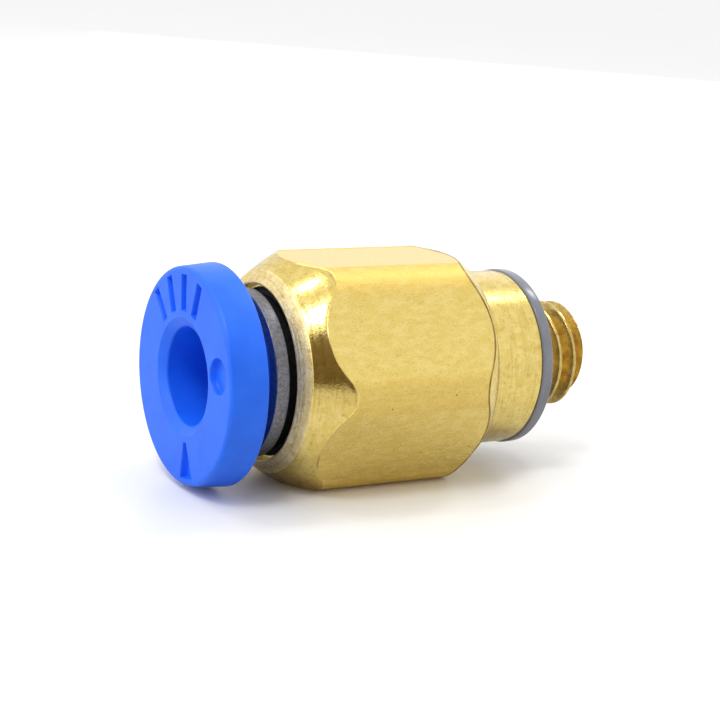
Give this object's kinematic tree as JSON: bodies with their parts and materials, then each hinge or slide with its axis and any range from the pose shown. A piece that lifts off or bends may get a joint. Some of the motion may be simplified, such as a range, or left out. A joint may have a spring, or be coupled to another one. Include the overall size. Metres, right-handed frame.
{
  "type": "push-to-connect fitting",
  "caption": "Straight push-in pneumatic fitting with a hexagonal brass body, male thread and gasket, guide ring, sprung lock claw and blue release ring.",
  "frame": {"origin": "on the fitting's axis, at the outer face of the thread gasket, which meets the face of the port", "axes": "+X along the fitting's axis, from the tube end towards the threaded end; +Z square to two flats of the hexagon"},
  "size_m": [0.0198, 0.011, 0.01],
  "materials": {
    "brass": "satin",
    "guide_metal": "satin",
    "spring_steel": "satin",
    "release_plastic": "satin",
    "gasket_plastic": "matte",
    "backing_plastic": "matte",
    "seal_rubber": "matte"
  },
  "bodies": {
    "fitting_body": {"brass_body": "brass", "thread_gasket": "gasket_plastic", "tube_seal": "seal_rubber", "seal_backing_ring": "backing_plastic", "guide_ring": "guide_metal"},
    "claw": {"claw_band": "spring_steel"},
    "release_ring": {"release_ring": "release_plastic"},
    "claw_finger_1": {"claw_finger_1": "spring_steel"},
    "claw_finger_2": {"claw_finger_2": "spring_steel"},
    "claw_finger_3": {"claw_finger_3": "spring_steel"},
    "claw_finger_4": {"claw_finger_4": "spring_steel"},
    "claw_finger_5": {"claw_finger_5": "spring_steel"},
    "claw_finger_6": {"claw_finger_6": "spring_steel"},
    "claw_finger_7": {"claw_finger_7": "spring_steel"},
    "claw_finger_8": {"claw_finger_8": "spring_steel"}
  },
  "joints": [
    {"name": "claw_turn", "type": "hinge", "parent": "fitting_body", "child": "claw", "pos_m": [-0.01103, 0, 0], "axis": [1, 0, 0], "continuous": true},
    {"name": "release_push", "type": "slide", "parent": "claw", "child": "release_ring", "axis": [1, 0, 0], "range_m": [0, 0.00085], "stiffness_N_per_m": 400, "springref_m": -0.0015},
    {"name": "finger_1_open", "type": "hinge", "parent": "claw", "child": "claw_finger_1", "pos_m": [-0.01103, 0, 0.00312], "axis": [0, -1, 0], "range_deg": [0, 20]},
    {"name": "finger_2_open", "type": "hinge", "parent": "claw", "child": "claw_finger_2", "pos_m": [-0.01103, -0.00221, 0.00221], "axis": [0, -0.7071, -0.7071], "range_deg": [0, 20]},
    {"name": "finger_3_open", "type": "hinge", "parent": "claw", "child": "claw_finger_3", "pos_m": [-0.01103, -0.00312, 0], "axis": [0, 0, -1], "range_deg": [0, 20]},
    {"name": "finger_4_open", "type": "hinge", "parent": "claw", "child": "claw_finger_4", "pos_m": [-0.01103, -0.00221, -0.00221], "axis": [0, 0.7071, -0.7071], "range_deg": [0, 20]},
    {"name": "finger_5_open", "type": "hinge", "parent": "claw", "child": "claw_finger_5", "pos_m": [-0.01103, 0, -0.00312], "axis": [0, 1, 0], "range_deg": [0, 20]},
    {"name": "finger_6_open", "type": "hinge", "parent": "claw", "child": "claw_finger_6", "pos_m": [-0.01103, 0.00221, -0.00221], "axis": [0, 0.7071, 0.7071], "range_deg": [0, 20]},
    {"name": "finger_7_open", "type": "hinge", "parent": "claw", "child": "claw_finger_7", "pos_m": [-0.01103, 0.00312, 0], "axis": [0, 0, 1], "range_deg": [0, 20]},
    {"name": "finger_8_open", "type": "hinge", "parent": "claw", "child": "claw_finger_8", "pos_m": [-0.01103, 0.00221, 0.00221], "axis": [0, -0.7071, 0.7071], "range_deg": [0, 20]}
  ],
  "couplings": [
    {"joint": "finger_1_open", "follows": "release_push", "rad_per_m": 400},
    {"joint": "finger_2_open", "follows": "release_push", "rad_per_m": 400},
    {"joint": "finger_3_open", "follows": "release_push", "rad_per_m": 400},
    {"joint": "finger_4_open", "follows": "release_push", "rad_per_m": 400},
    {"joint": "finger_5_open", "follows": "release_push", "rad_per_m": 400},
    {"joint": "finger_6_open", "follows": "release_push", "rad_per_m": 400},
    {"joint": "finger_7_open", "follows": "release_push", "rad_per_m": 400},
    {"joint": "finger_8_open", "follows": "release_push", "rad_per_m": 400}
  ]
}
